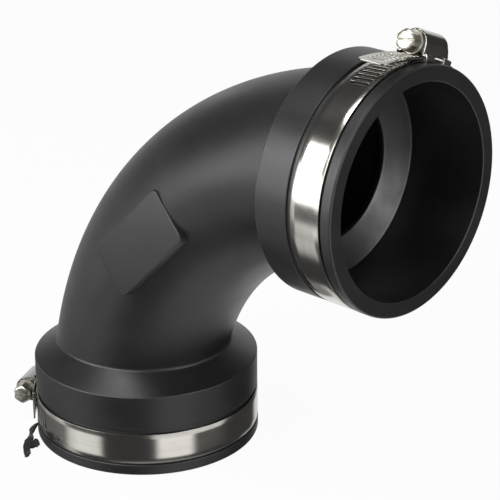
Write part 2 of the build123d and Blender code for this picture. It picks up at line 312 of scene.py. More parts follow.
class Finish:
    """The nodes of a material or of the world, under construction."""

    def __init__(self, owner):
        self.owner = owner
        owner.use_nodes = True
        self.tree = owner.node_tree
        self.tree.nodes.clear()

    def node(self, kind, settings=None, values=None, output=0):
        """Adds a node, with its settings first, then the values or links of its sockets."""
        made = self.tree.nodes.new("ShaderNode" + kind)
        for key, value in (settings or {}).items():
            if key == "stops":
                self.set_stops(made.color_ramp, value)
            else:
                setattr(made, key, value)
        for key, value in (values or {}).items():
            if isinstance(value, Wire):
                self.tree.links.new(value.socket, made.inputs[key])
            else:
                made.inputs[key].default_value = value
        return Wire(self, made.outputs[output])

    def set_stops(self, ramp, stops):
        for spare in list(ramp.elements)[1:]:
            ramp.elements.remove(spare)
        ramp.elements[0].position = stops[0][0]
        ramp.elements[0].color = [stops[0][1]] * 3 + [1.0]
        for place, value in stops[1:]:
            ramp.elements.new(place).color = [value] * 3 + [1.0]

    def place(self, scale=(1.0, 1.0, 1.0), output="Object"):
        """Object coordinates, stretched."""
        spot = self.node("TexCoord", output=output)
        return self.node("Mapping", {}, {"Vector": spot, "Scale": scale})

    def strip_place(self, scale):
        """Place on the flat strip that a band or cover was bent from, stretched."""
        return self.place(scale, "UV")

    def clouds(self, spot, scale, detail=3.0, rough=0.5):
        values = {"Vector": spot, "Scale": scale, "Detail": detail, "Roughness": rough}
        return self.node("TexNoise", {}, values)

    def ramp(self, value, stops):
        return self.node("ValToRGB", {"stops": stops}, {0: value})

    def rise(self, value, low, high):
        """Nought up to a low value and one from a high value on."""
        return self.ramp(value, [(0.0, 0.0), (low, 0.0), (high, 1.0), (1.0, 1.0)])

    def attribute(self, name):
        return self.node("Attribute", {"attribute_name": name}, output="Fac")

    def blend(self, factor, first, second):
        """Colour between two colours."""
        values = {0: factor, 6: first, 7: second}
        return self.node("Mix", {"data_type": "RGBA"}, values, output=2)

    def surface(self, values, heights):
        """The shader itself, with bumps given as height and depth in metres."""
        values = dict(values)
        for height, depth in heights:
            inputs = {"Strength": 1.0, "Distance": depth, "Height": height}
            if "Normal" in values:
                inputs["Normal"] = values["Normal"]
            values["Normal"] = self.node("Bump", {}, inputs)
        self.close(self.node("BsdfPrincipled", {}, values))
        return self.owner

    def close(self, shader, kind="OutputMaterial"):
        """Links the finished shader to the output."""
        made = self.tree.nodes.new("ShaderNode" + kind)
        self.tree.links.new(shader.socket, made.inputs["Surface"])


def opaque(value):
    """A colour property as the four numbers that a socket takes."""
    return (value[0], value[1], value[2], 1.0)


def rubber_finish(name):
    """Satin moulded rubber: fine grain, faint flow marks, dust specks, worn edges lightened by a
    painted highlight, and a painted highlight on the stops.
    """
    finishes = bpy.context.scene.coupling_finishes
    finish = Finish(bpy.data.materials.new(name))
    flow = finish.clouds(finish.place((1.0, 1.0, 2.4)), 22.0, 4.0, 0.6)
    smudge = finish.clouds(finish.place(), 55.0, 5.0, 0.62)
    grain = finish.clouds(finish.place(), 2600.0, 2.0, 0.5)
    ripple = finish.clouds(finish.place(), 160.0, 3.0, 0.5)
    dust = finish.clouds(finish.place(), 700.0, 2.0, 0.5)
    scratch = finish.clouds(finish.place((1.0, 0.35, 3.0)), 320.0, 3.0, 0.7)
    specks = finish.rise(dust, 0.70, 0.78)
    scratches = finish.rise(scratch, 0.66, 0.76)
    patches = finish.ramp(smudge, [(0.35, 0.0), (0.65, 1.0)])
    # Painted highlight: the edge mark lightens the rounded edges of the moulding where thin lines
    # of light lie, over some real wear there.
    worn_and_highlit = finish.attribute("edge") * (0.25 + 0.75 * patches)
    marks = finish.ramp(flow, [(0.30, 0.0), (0.72, 1.0)])
    pale = 0.08 * marks + 0.12 * specks + 0.05 * scratches + 0.45 * worn_and_highlit
    base = finish.blend(pale, opaque(finishes.rubber), opaque(finishes.scuff_and_highlight))
    # Painted highlight: the stops inside the sockets are painted pale, most at one place round the
    # ring.
    painted_stop_highlight = finish.attribute("dust") * (0.55 + 0.45 * patches)
    base = finish.blend(painted_stop_highlight, base, opaque(finishes.dust))
    rough = finishes.rubber_roughness + 0.10 * marks - 0.06 * smudge - 0.05 * worn_and_highlit
    return finish.surface(
        {"Base Color": base, "Roughness": rough, "Specular IOR Level": 0.7, "IOR": 1.5},
        [(ripple, 0.00006), (grain, 0.000035), (scratches, 0.00001)],
    )


def strip_finish(name, tint, roughness, painted_shade_share):
    """Rolled stainless strip: brushed along its length, with painted shade in its corners and
    where parts meet.
    """
    finishes = bpy.context.scene.coupling_finishes
    finish = Finish(bpy.data.materials.new(name))
    brushed = finish.clouds(finish.strip_place((30.0, 2600.0, 1.0)), 1.0, 4.0, 0.6)
    streaks = finish.clouds(finish.strip_place((12.0, 420.0, 1.0)), 1.0, 3.0, 0.55)
    haze = finish.clouds(finish.place(), 90.0, 4.0, 0.6)
    dents = finish.clouds(finish.strip_place((60.0, 90.0, 1.0)), 1.0, 2.0, 0.5)
    scratch = finish.clouds(finish.strip_place((90.0, 1300.0, 1.0)), 1.0, 2.0, 0.7)
    scratches = finish.rise(scratch, 0.68, 0.74)
    # Painted shade: the metal is darkened where the mark says, in corners, round slots and holes
    # and where parts overlap.
    dirt = finish.attribute("dirt") * finish.ramp(haze, [(0.3, 0.35), (0.7, 1.0)])
    clean = finish.blend(0.16 * streaks + 0.12 * haze, opaque(tint), opaque(finishes.grime_and_shade))
    base = finish.blend(painted_shade_share * dirt, clean, opaque(finishes.grime_and_shade))
    rough = roughness + 0.10 * (brushed - 0.5) + 0.08 * (haze - 0.5) + 0.22 * dirt
    return finish.surface(
        {"Base Color": base, "Metallic": 1.0, "Roughness": rough},
        [(dents, 0.00002), (brushed, 0.000001), (scratches, 0.000003)],
    )


def screw_finish(name):
    """Bright plated screw: turned marks, yellowish haze and painted shade in the recesses."""
    finishes = bpy.context.scene.coupling_finishes
    finish = Finish(bpy.data.materials.new(name))
    haze = finish.clouds(finish.place(), 260.0, 4.0, 0.6)
    pits = finish.clouds(finish.place(), 1500.0, 3.0, 0.6)
    # Painted shade: darker in the driver slot and below the head.
    dirt = finish.attribute("dirt") * finish.ramp(haze, [(0.3, 0.4), (0.7, 1.0)])
    tarnish = opaque([part * tint for part, tint in zip(TARNISH, finishes.screw)])
    dull = finish.ramp(haze, [(0.4, 0.0), (0.8, 0.7)])
    clean = finish.blend(dull, opaque(finishes.screw), tarnish)
    base = finish.blend(0.85 * dirt, clean, opaque(finishes.grime_and_shade))
    rough = 0.20 + 0.14 * haze + 0.25 * dirt
    return finish.surface(
        {"Base Color": base, "Metallic": 1.0, "Roughness": rough},
        [(haze, 0.00004), (pits, 0.000008)],
    )


def clamped(value):
    """A value held between nought and one."""
    return min(max(value, 0.0), 1.0)


def ease(part):
    """Smooth step from nought to one."""
    return part * part * (3 - 2 * part)


def spread(low, high, count):
    """Evenly spaced values from low to high, both included."""
    return [low + (high - low) * step / count for step in range(count + 1)]


def polar(radius, around, height):
    """Point at an angle round the upright axis."""
    return Vector((radius * math.cos(around), radius * math.sin(around), height))


def waver(spot):
    """Uneven offset that changes smoothly from place to place and is the same in each run."""
    return Vector([noise.noise(spot + Vector((shift, 0, 0))) for shift in (5.5, 11.7, 23.9)])


def verts_of(made):
    """The vertices among the things that an operator returns."""
    return [thing for thing in made if isinstance(thing, bmesh.types.BMVert)]


def face_out(mesh):
    """Turns the faces of a closed skin outwards, also where it is too thin for the operator."""
    bmesh.ops.recalc_face_normals(mesh, faces=mesh.faces)
    if mesh.calc_volume(signed=True) < 0:
        bmesh.ops.reverse_faces(mesh, faces=mesh.faces)


def bevel(mesh, geom, radius, segments, affect="EDGES", clamp_overlap=False):
    bmesh.ops.bevel(
        mesh,
        geom=geom,
        offset=radius,
        segments=segments,
        profile=0.5,
        affect=affect,
        clamp_overlap=clamp_overlap,
        material=-1,
    )


def thicken(mesh, thickness):
    """Gives a flat skin its thickness upwards, and returns the raised vertices."""
    raised = verts_of(bmesh.ops.extrude_face_region(mesh, geom=mesh.faces[:])["geom"])
    bmesh.ops.translate(mesh, vec=(0, 0, thickness), verts=raised)
    face_out(mesh)
    return raised


def new_object(mesh, name, material=None):
    """Turns a bmesh into an object of the scene."""
    if not mesh.faces:
        raise RuntimeError(name + " has no faces")
    data = bpy.data.meshes.new(name)
    mesh.to_mesh(data)
    mesh.free()
    if material:
        data.materials.append(material)
    made = bpy.data.objects.new(name, data)
    bpy.context.scene.collection.objects.link(made)
    return made


def finish_piece(mesh, name, slot, body, material, replaces=(), sharp=SHARP):
    """Turns a bmesh into a piece of the part that rides on a body of the model."""
    for face in mesh.faces:
        face.smooth = True
    for edge in mesh.edges:
        if len(edge.link_faces) == 2 and edge.calc_face_angle(0.0) > math.radians(sharp):
            edge.smooth = False
    piece = new_object(mesh, name, material)
    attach(piece, body)
    if replaces:
        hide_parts(*replaces)
    return piece


def arc_point(start, corner, end, weight, part):
    """Point of the arc that rounds a corner, at a share of it."""
    parts = ((1 - part) ** 2, 2 * part * (1 - part) * weight, part * part)
    return (start * parts[0] + corner * parts[1] + end * parts[2]) / sum(parts)


def rounded(corners, steps=5, support=0.00015):
    """Outline as points, from corners given as x, y and rounding radius."""
    points = []
    for index, (x, y, radius) in enumerate(corners):
        corner = Vector((x, y))
        if radius == 0 or index in (0, len(corners) - 1):
            points.append(corner)
            continue
        back = Vector(corners[index - 1][:2]) - corner
        ahead = Vector(corners[index + 1][:2]) - corner
        half_turn = (math.pi - back.angle(ahead)) / 2
        reach = radius * math.tan(half_turn)
        weight = math.cos(half_turn)
        start = corner + back.normalized() * reach
        end = corner + ahead.normalized() * reach
        points.append(start + back.normalized() * min(support, 0.1 * back.length))
        for step in range(steps + 1):
            points.append(arc_point(start, corner, end, weight, step / steps))
        points.append(end + ahead.normalized() * min(support, 0.1 * ahead.length))
    return points


def lengths_along(points):
    """Distance of each point of a line from its start."""
    lengths = [0.0]
    for before, after in zip(points, points[1:]):
        lengths.append(lengths[-1] + (after - before).length)
    return lengths


def stretch_at(lengths, distance, slack=1e-9):
    """Number of the stretch that holds a distance along a line, and the share of it passed."""
    index = bisect_right(lengths, distance + slack, 1, len(lengths) - 1) - 1
    return index, (distance - lengths[index]) / (lengths[index + 1] - lengths[index])


def lathe(mesh, outline, steps=48):
    """Spins an outline of radius and height round Z into a closed skin."""
    rows = [mesh.verts.new((point[0], 0.0, point[1])) for point in outline]
    edges = [mesh.edges.new(pair) for pair in zip(rows, rows[1:])]
    bmesh.ops.spin(
        mesh,
        geom=rows + edges,
        cent=(0, 0, 0),
        axis=(0, 0, 1),
        angle=math.tau,
        steps=steps,
        use_merge=True,
    )
    bmesh.ops.remove_doubles(mesh, verts=mesh.verts, dist=MM / 1000)
    face_out(mesh)


def first_ring(mesh, segments, place):
    """Open ring to grow a skin from, as its vertices and the angle around of each."""
    start = bmesh.ops.create_circle(mesh, segments=segments, radius=1.0)["verts"]
    ring = {vert: math.atan2(vert.co.y, vert.co.x) for vert in start}
    for vert, around in ring.items():
        vert.co = place(around)
    return ring


def ring_edges(ring):
    """Edges that join the vertices of a ring."""
    near = {edge for vert in ring for edge in vert.link_edges}
    return [edge for edge in near if all(vert in ring for vert in edge.verts)]


def extend(mesh, ring, place):
    """Grows a skin by one row of faces from an open ring, and returns the new ring."""
    grown = bmesh.ops.extrude_edge_only(mesh, edges=ring_edges(ring))["geom"]
    fresh = {}
    for vert in verts_of(grown):
        for edge in vert.link_edges:
            other = edge.other_vert(vert)
            if other in ring:
                fresh[vert] = ring[other]
    for vert, around in fresh.items():
        vert.co = place(around)
    return fresh


class HalfBend:
    """Points of the lower half of the elbow, by the angle around it from the inner side."""

    # Angles along the bend between which the tube meets its socket, and the halvings to find it.
    LOWEST, HIGHEST = math.radians(2.0), math.radians(40.0)
    HALVINGS = 40

    def __init__(self, socket, bend):
        self.socket = socket
        self.bend = bend
        self.height = bend.mouth_to_axis - bend.bend_centre
        self.rise = math.tan(socket.shoulder_slope)

    def on_tube(self, radius, along, around):
        """Point of the tube's skin at an angle along the bend and one around the tube."""
        out = Vector((math.cos(along), 0.0, -math.sin(along)))
        middle = Vector((self.bend.bend_centre, 0.0, self.height)) - self.bend.bend_radius * out
        return middle + radius * (math.cos(around) * out + math.sin(around) * Vector((0, 1, 0)))

    def on_shoulder(self, radius, around):
        height = self.socket.shoulder_start + (self.socket.barrel_radius - radius) * self.rise
        return polar(radius, around, height)

    def meeting(self, radius, around, stands_above):
        """Angle along the bend at which the tube's skin rises through a surface."""
        low, high = self.LOWEST, self.HIGHEST
        for _ in range(self.HALVINGS):
            middle = (low + high) / 2
            if stands_above(self.on_tube(radius, middle, around)):
                high = middle
            else:
                low = middle
        return high

    def above_shoulder(self, point):
        radius = math.hypot(point.x, point.y)
        return point.z > self.on_shoulder(radius, 0.0).z

    def above_stop(self, point):
        return point.z > self.socket.stop_ring_top

    def root(self, around):
        """Where the fillet between shoulder and tube leaves the tube, and its arc."""
        radius = self.bend.tube_radius
        along = self.meeting(radius, around, self.above_shoulder)
        corner = self.on_tube(radius, along, around)
        step = math.radians(0.5)
        up = (self.on_tube(radius, along + step, around) - corner).normalized()
        facing = math.atan2(corner.y, corner.x)
        reach = math.hypot(corner.x, corner.y)
        down = (self.on_shoulder(reach + MM, facing) - corner).normalized()
        half_turn = (math.pi - up.angle(down)) / 2
        run = self.bend.root_fillet * math.tan(half_turn)
        tube_end = along + run / (self.bend.bend_radius - radius * math.cos(around))
        start = self.on_tube(radius, tube_end, around)
        return tube_end, (start, corner, corner + down * run, math.cos(half_turn))


def socket_outline(half):
    """Points from the shoulder round the mouth to the waterway, each with its mark of wear and
    painted highlight at the rounded corners, and its mark of painted highlight on the stop.
    """
    socket = half.socket
    foot = socket.barrel_radius - 4.0 * MM
    corners = [
        (foot, half.on_shoulder(foot, 0.0).z, 0),
        (socket.barrel_radius, socket.shoulder_start, 0.7 * MM),
        (socket.barrel_radius, socket.seat_end, 0.35 * MM),
        (socket.seat_radius, socket.seat_end, 0.25 * MM),
        (socket.seat_radius, socket.lip_height, 0.25 * MM),
        (socket.lip_radius, socket.lip_height, 0.45 * MM),
        (socket.lip_radius, 0.0, socket.lip_round),
        (socket.bore_radius, 0.0, 0.5 * MM),
        (socket.bore_radius, socket.stop_depth, 1.0 * MM),
        (socket.stop_opening, socket.stop_inner_depth, 1.2 * MM),
        (socket.stop_opening, socket.stop_ring_top, 0.8 * MM),
        (half.bend.waterway_radius - 0.6 * MM, socket.stop_ring_top, 0),
    ]
    points = rounded(corners)
    # The rounded corners that carry wear and a painted highlight.
    rubbed_and_highlit_corners = (1, 2, 5, 6, 7)
    worn_and_highlit = set()
    for index in rubbed_and_highlit_corners:
        corner = Vector(corners[index][:2])
        near = min(range(len(points)), key=lambda i: (points[i] - corner).length)
        worn_and_highlit.update((near - 1, near, near + 1))
    outline = []
    for index, point in enumerate(points):
        # Points on the stop take the painted highlight.
        on_stop = socket.stop_depth - 0.1 * MM < point.y < socket.stop_inner_depth + 0.1 * MM
        inside = socket.stop_opening - 0.1 * MM < point.x < socket.bore_radius - 0.2 * MM
        outline.append((point, float(index in worn_and_highlit), float(on_stop and inside)))
    return outline


def elbow_mesh():
    """The whole moulded elbow, grown ring by ring from its middle and then mirrored."""
    scene = bpy.context.scene
    socket, bend = scene.coupling_socket, scene.coupling_bend
    half = HalfBend(socket, bend)
    middle = math.radians(45.0)
    mesh = bmesh.new()
    edge_layer = mesh.verts.layers.float.new("edge")
    stop_highlight_layer = mesh.verts.layers.float.new("dust")
    ring = first_ring(mesh, socket.around, lambda a: half.on_tube(bend.tube_radius, middle, a))
    roots = {around: half.root(around) for around in ring.values()}

    def grow(place, wear_and_highlight=0.0, dust=0.0):
        nonlocal ring
        ring = extend(mesh, ring, place)
        for vert in ring:
            vert[edge_layer] = wear_and_highlight
            vert[stop_highlight_layer] = dust

    def on_bend(radius, start, end, part, around):
        return half.on_tube(radius, start + (end - start) * part, around)

    # The rows of the tube draw together towards its root.
    crowding = 0.25
    for row in range(1, bend.rows + 1):
        part = row / bend.rows
        part = part + (part - part * part) * crowding
        grow(lambda a: on_bend(bend.tube_radius, middle, roots[a][0], part, a))
    # The fillet between shoulder and tube is painted lighter, most in its middle rows: a painted
    # highlight along the root, over its flash line.
    fillet_steps = 6
    for step in range(1, fillet_steps + 1):
        grow(
            lambda a: arc_point(*roots[a][1], step / fillet_steps),
            0.8 if step in (3, 4) else 0.25,
        )
    for point, wear_and_highlight, dust in socket_outline(half):
        grow(lambda a: polar(point.x, a, point.y), wear_and_highlight, dust)
    ends = {a: half.meeting(bend.waterway_radius, a, half.above_stop) for a in roots}
    inner_rows = bend.rows // 2
    for row in range(inner_rows + 1):
        grow(lambda a: on_bend(bend.waterway_radius, ends[a], middle, row / inner_rows, a))
    reach = bend.mouth_to_axis
    swap = Matrix(((0, 0, -1, reach), (0, 1, 0, 0), (-1, 0, 0, reach), (0, 0, 0, 1)))
    copy = bmesh.ops.duplicate(mesh, geom=mesh.verts[:] + mesh.edges[:] + mesh.faces[:])["geom"]
    bmesh.ops.transform(mesh, matrix=swap, verts=verts_of(copy))
    bmesh.ops.remove_doubles(mesh, verts=mesh.verts, dist=MM / 100)
    face_out(mesh)
    # The stop's painted highlight is strongest at one angle round its ring and faint elsewhere.
    for vert in mesh.verts:
        if vert[stop_highlight_layer] > 0.0:
            around = math.atan2(vert.co.y, reach - vert.co.z)
            vert[stop_highlight_layer] = 0.08 + math.exp(-(((around - STOP_HIGHLIGHT_AT) / STOP_HIGHLIGHT_SPREAD) ** 2))
    return mesh


def pad_mesh():
    """The flat raised pad on the near side of the bend."""
    bend = bpy.context.scene.coupling_bend
    thickness = 5.0 * MM
    corner, rim = 3.0 * MM, 0.45 * MM
    mesh = bmesh.new()
    bmesh.ops.create_grid(mesh, x_segments=1, y_segments=1, size=0.5)
    bmesh.ops.scale(mesh, vec=(bend.pad_length, bend.pad_width, 1.0), verts=mesh.verts)
    bevel(mesh, mesh.verts[:], corner, 8, affect="VERTICES")
    raised = thicken(mesh, thickness)
    top = [e for e in mesh.edges if all(v in raised for v in e.verts) and len(e.link_faces) == 2]
    bevel(mesh, top, rim, 4)
    # The pad's sides are painted lighter: wear with a painted highlight along them.
    edge_layer = mesh.verts.layers.float.new("edge")
    for vert in mesh.verts:
        vert[edge_layer] = 0.6 if vert.co.z < thickness - 0.02 * MM else 0.0
    lean = 1 / math.sqrt(2)
    across = bend.pad_middle * lean
    place = Matrix(
        (
            (lean, lean, 0, bend.bend_centre - across),
            (0, 0, -1, -bend.pad_face + thickness),
            (lean, -lean, 0, bend.mouth_to_axis - bend.bend_centre + across),
            (0, 0, 0, 1),
        )
    )
    face = Matrix.Translation((0, 0, thickness))
    turned = Matrix.Rotation(bend.pad_lean, 4, "X") @ Matrix.Rotation(bend.pad_tip, 4, "Y")
    place = place @ Matrix.Translation((-bend.pad_drop, 0, 0)) @ face @ turned @ face.inverted()
    bmesh.ops.transform(mesh, matrix=place, verts=mesh.verts)
    face_out(mesh)
    return mesh


class COUPLING_OT_elbow(bpy.types.Operator):
    """Moulds the rubber elbow and the raised pad on it"""

    bl_idname = "coupling.elbow"
    bl_label = "Elbow"

    def execute(self, context):
        rubber = rubber_finish("black_rubber_moulded")
        elbow = finish_piece(
            elbow_mesh(), "moulded_elbow", "black_rubber", "elbow", rubber, ["elbow_body"], 60.0
        )
        modifier = elbow.modifiers.new("even_shading", "WEIGHTED_NORMAL")
        modifier.keep_sharp = True
        finish_piece(pad_mesh(), "bare_pad", "black_rubber", "elbow", rubber)
        return {"FINISHED"}


def strip(cuts, rows, thickness, is_open=lambda spot: False):
    """Flat strip with holes, its length along X and its outer face up."""
    mesh = bmesh.new()
    bmesh.ops.create_grid(mesh, x_segments=len(cuts) - 1, y_segments=len(rows) - 1, size=0.5)
    for vert in mesh.verts:
        column = round((vert.co.x + 0.5) * (len(cuts) - 1))
        row = round((vert.co.y + 0.5) * (len(rows) - 1))
        vert.co = (cuts[column], rows[row], 0.0)
    holes = [face for face in mesh.faces if is_open(face.calc_center_median())]
    bmesh.ops.delete(mesh, geom=holes, context="FACES")
    thicken(mesh, thickness)
    return mesh


def round_rims(mesh, rim):
    """Rounds the square edges of a strip."""
    square = [e for e in mesh.edges if e.is_manifold and e.calc_face_angle(0.0) > math.radians(50)]
    bevel(mesh, square, rim, 2, clamp_overlap=True)


def mark_flat(mesh, amount):
    """Stores on the flat strip each corner's place, for the finish, and how much painted shade
    darkens each point.
    """
    layer = mesh.loops.layers.uv.new("strip")
    for face in mesh.faces:
        for loop in face.loops:
            loop[layer].uv = (loop.vert.co.x, loop.vert.co.y)
    mark_painted_shade(mesh, amount)


def mark_painted_shade(mesh, amount):
    """Stores how much painted shade darkens each point, from a function of its place."""
    layer = mesh.verts.layers.float.new("dirt")
    for vert in mesh.verts:
        vert[layer] = amount(vert.co)


class Course:
    """Line that a clamp's band follows, from its fixed end to the tip of its tail."""

    LOOP_STEPS = 1600
    TAIL_STEPS = 40

    def __init__(self, clamp, tail_length, tail_radius):
        thickness = clamp.band_thickness
        loop = clamp.inside_radius + thickness / 2
        lap = clamp.inside_radius + clamp.saddle_thickness + clamp.layer_gap + thickness / 2
        top = lap + thickness + clamp.layer_gap
        lap_end = clamp.saddle_angle + BAND_LIFT / 2
        loop_end = math.tau - clamp.saddle_angle - 2 * BAND_LIFT
        top_start = math.tau - clamp.saddle_angle - BAND_LIFT / 4
        top_end = math.tau + clamp.saddle_angle

        def radius(turn):
            if turn < lap_end:
                return lap
            if turn < lap_end + BAND_LIFT:
                return lap + (loop - lap) * ease((turn - lap_end) / BAND_LIFT)
            if turn < loop_end:
                return loop
            if turn < top_start:
                return loop + (top - loop) * ease((turn - loop_end) / (top_start - loop_end))
            return top

        turns = spread(-BAND_LEAD, top_end, self.LOOP_STEPS)
        self.points = [radius(turn) * Vector((math.cos(turn), math.sin(turn))) for turn in turns]
        heading = Vector((-math.sin(top_end), math.cos(top_end)))
        centre = self.points[-1] - tail_radius * Vector((heading.y, -heading.x))
        arm = self.points[-1] - centre
        bend = tail_length / tail_radius
        for step in range(1, self.TAIL_STEPS + 1):
            turn = Matrix.Rotation(bend * step / self.TAIL_STEPS, 2)
            self.points.append(centre + turn @ arm)
        self.lengths = lengths_along(self.points)
        self.length = self.lengths[-1]
        self.lap = lap

    def at(self, distance):
        """Point of the line and the way outward from it, at a distance from the fixed end."""
        distance = min(max(distance, 0.0), self.length)
        index, part = stretch_at(self.lengths, distance, 0.0)
        step = self.points[index + 1] - self.points[index]
        point = self.points[index] + step * part
        step.normalize()
        return point, Vector((step.y, -step.x))


def band_mesh(tail_length, tail_radius):
    """Slotted strip, punched flat and then wrapped along its course."""
    clamp = bpy.context.scene.coupling_clamp
    course = Course(clamp, tail_length, tail_radius)
    half_width = clamp.band_width / 2
    half_gap = clamp.slot_gap / 2
    corner = 2.5 * MM
    first_slot, tail_slot_count = 4.5 * MM, 30
    longest_face = 2.0 * MM
    tail_slots = [first_slot + number * clamp.slot_pitch for number in range(tail_slot_count)]
    lap_start = (BAND_LEAD + clamp.saddle_angle) * course.lap + clamp.slot_gap
    lap_slots = [
        course.length - lap_start - number * clamp.slot_pitch for number in range(clamp.lap_slots)
    ]
    slots = tail_slots + lap_slots
    cuts = [0.0, 0.15 * MM, 0.5 * MM, 1.0 * MM, 1.7 * MM, corner]
    cuts += [spot + side for spot in slots for side in (-half_gap, half_gap)]
    plain_start = tail_slots[-1] + half_gap
    plain_end = min(lap_slots) - half_gap
    count = math.ceil((plain_end - plain_start) / longest_face)
    cuts += spread(plain_start, plain_end, count)[1:-1]
    last = max(lap_slots) + half_gap
    count = math.ceil((course.length - last) / longest_face)
    cuts += spread(last, course.length, count)[1:]
    cuts.sort()
    slot_half = clamp.slot_length / 2
    rows = [-half_width, -slot_half, -slot_half / 2, 0.0, slot_half / 2, slot_half, half_width]

    def is_open(spot):
        return abs(spot.y) < slot_half and any(abs(spot.x - s) < half_gap for s in slots)

    mesh = strip(cuts, rows, clamp.band_thickness, is_open)
    slant = math.tan(clamp.slot_tilt)
    slotted = ((tail_slots[0], tail_slots[-1]), (min(lap_slots), max(lap_slots)))
    for vert in mesh.verts:
        spot = vert.co
        for low, high in slotted:
            if low - clamp.slot_gap < spot.x < high + clamp.slot_gap:
                spot.x += slant * spot.y
        if spot.x < corner and abs(spot.y) > half_width - 0.01 * MM:
            inset = corner - math.sqrt(corner**2 - (corner - max(spot.x, 0.0)) ** 2)
            spot.y = math.copysign(half_width - inset, spot.y)
    round_rims(mesh, 0.13 * MM)

    # Painted shade: darker round the slots, over the lapped layers and along the rims.
    def dirt(spot):
        near_slot = 1.0 if spot.x < tail_slots[-1] + clamp.slot_gap else 0.0
        over_lap = 1.0 if spot.x > min(lap_slots) - clamp.slot_gap else 0.0
        rim = 0.3 if abs(spot.y) > half_width - 0.2 * MM else 0.0
        return min(1.0, 0.5 * max(near_slot, over_lap) + rim)

    mark_flat(mesh, dirt)
    for vert in mesh.verts:
        point, outward = course.at(course.length - vert.co.x)
        spot = point + outward * (vert.co.z - clamp.band_thickness / 2)
        vert.co = (spot.x, spot.y, vert.co.y)
    face_out(mesh)
    return mesh


def clamp_place(which):
    """Place of a clamp's own frame in the part."""
    scene = bpy.context.scene
    clamp, reach = scene.coupling_clamp, scene.coupling_bend.mouth_to_axis
    if which == "lower":
        turned = Matrix.Rotation(clamp.lower_angle, 4, "Z")
        return Matrix.Translation((0, 0, clamp.from_mouth)) @ turned
    sine, cosine = math.sin(clamp.upper_angle), math.cos(clamp.upper_angle)
    return Matrix(
        (
            (0, 0, 1, reach - clamp.from_mouth),
            (-cosine, -sine, 0, 0),
            (sine, -cosine, 0, reach),
            (0, 0, 0, 1),
        )
    )


class COUPLING_OT_bands(bpy.types.Operator):
    """Punches and wraps the two slotted bands"""

    bl_idname = "coupling.bands"
    bl_label = "Bands"

    def execute(self, context):
        scene = context.scene
        clamp, finishes = scene.coupling_clamp, scene.coupling_finishes
        steel = strip_finish("rolled_band_steel", finishes.band, finishes.band_roughness, 0.8)
        tails = {
            "lower": (clamp.lower_tail, clamp.lower_tail_radius),
            "upper": (clamp.upper_tail, clamp.upper_tail_radius),
        }
        for which, tail in tails.items():
            mesh = band_mesh(*tail)
            mesh.transform(clamp_place(which))
            name, body, replaced = which + "_slotted_band", which + "_clamp", [which + "_band"]
            finish_piece(mesh, name, "stainless_band", body, steel, replaced)
        return {"FINISHED"}


def fold_line(corners, count):
    """Points spaced evenly along a rounded outline, and its length."""
    points = rounded(corners, steps=8, support=0.00002)
    lengths = lengths_along(points)
    spaced = []
    for goal in spread(0.0, lengths[-1], count):
        index, part = stretch_at(lengths, goal)
        spaced.append(points[index].lerp(points[index + 1], part))
    return spaced, lengths[-1]


def fold(spaced, part):
    """Point of a fold line at a share of its length, and the way out of its outer side."""
    place = clamped(part) * (len(spaced) - 1)
    index = min(int(place), len(spaced) - 2)
    step = spaced[index + 1] - spaced[index]
    point = spaced[index] + step * (place - index)
    step.normalize()
    return point, Vector((-step.y, step.x))


def saddle_mesh():
    """Strip under the band, with four legs folded up past it and over the housing's feet."""
    clamp = bpy.context.scene.coupling_clamp
    thickness = clamp.saddle_thickness
    leg_height, crimp_reach, fold_radius = 3.5 * MM, 1.5 * MM, 0.45 * MM
    side = clamp.band_width / 2 + SIDE_ROOM + thickness / 2
    base = clamp.inside_radius + thickness / 2
    crimp = clamp.inside_radius + leg_height
    tip = side + thickness / 2 - crimp_reach
    corners = [
        (tip, crimp, 0),
        (side, crimp, fold_radius),
        (side, base, fold_radius),
        (-side, base, fold_radius),
        (-side, crimp, fold_radius),
        (-tip, crimp, 0),
    ]
    spaced, total = fold_line(corners, 240)
    # The legs stand at both ends of the saddle and leave its middle open.
    gap = math.radians(3.4) * base
    leg_rise = (total - 2 * side) / 2 - 0.2 * MM
    columns = 20
    cuts = [clamp.saddle_angle * base * (2 * step / columns - 1) for step in range(columns + 1)]
    nearest = min(range(len(cuts)), key=lambda i: abs(cuts[i] - gap))
    cuts[nearest] = gap
    cuts[columns - nearest] = -gap
    rows = spread(0.0, total, 60)

    def is_open(spot):
        outside = spot.y < leg_rise or spot.y > total - leg_rise
        return outside and abs(spot.x) < gap

    mesh = strip(cuts, rows, thickness, is_open)
    round_rims(mesh, 0.12 * MM)
    # Painted shade, even over the saddle under the band.
    mark_flat(mesh, lambda spot: 0.35)
    for vert in mesh.verts:
        point, outward = fold(spaced, vert.co.y / total)
        spot = point + outward * (thickness / 2 - vert.co.z)
        turn = vert.co.x / base
        vert.co = (spot.y * math.cos(turn), spot.y * math.sin(turn), spot.x)
    face_out(mesh)
    return mesh


